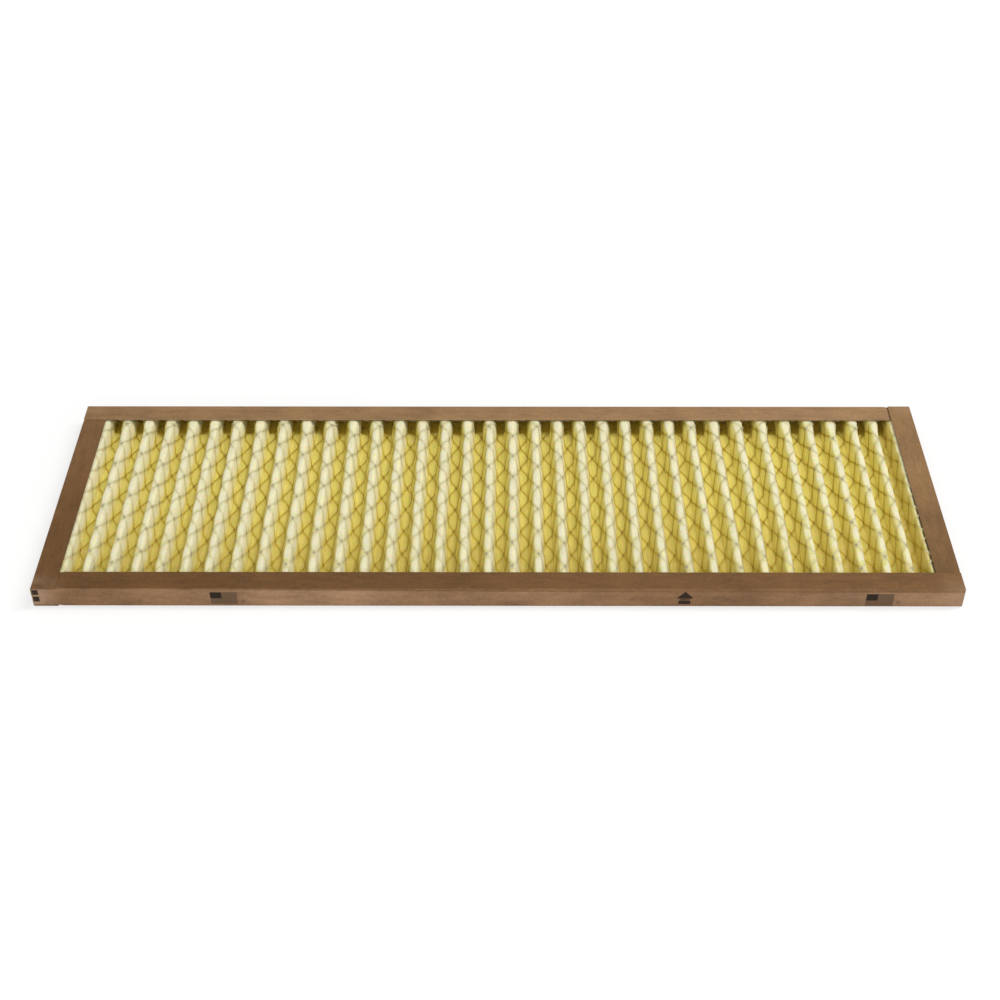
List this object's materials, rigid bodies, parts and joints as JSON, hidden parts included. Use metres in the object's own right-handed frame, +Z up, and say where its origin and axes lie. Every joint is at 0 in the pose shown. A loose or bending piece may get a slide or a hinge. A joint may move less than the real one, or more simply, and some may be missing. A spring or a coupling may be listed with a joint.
{
  "type": "high temperature air filter",
  "caption": "Flat pleated air filter panel for hot air: fibre media with a metal grid on one face, sealed in a folded kraft board frame with lapped corners.",
  "frame": {"origin": "middle of the lower face, on the surface that the panel lies on", "axes": "+X along the panel's long side, +Y across it along the pleats, +Z up through its depth, out of the face with the metal grid"},
  "size_m": [0.7494, 0.2414, 0.0191],
  "materials": {
    "frame_board": "matte",
    "sealant": "matte",
    "media": "matte",
    "grid": "satin"
  },
  "bodies": {
    "root": {"front_rail": "frame_board", "right_rail": "frame_board", "back_rail": "frame_board", "left_rail": "frame_board", "front_sealant": "sealant", "right_sealant": "sealant", "back_sealant": "sealant", "left_sealant": "sealant", "pleated_media": "media", "support_grid": "grid"}
  },
  "joints": []
}
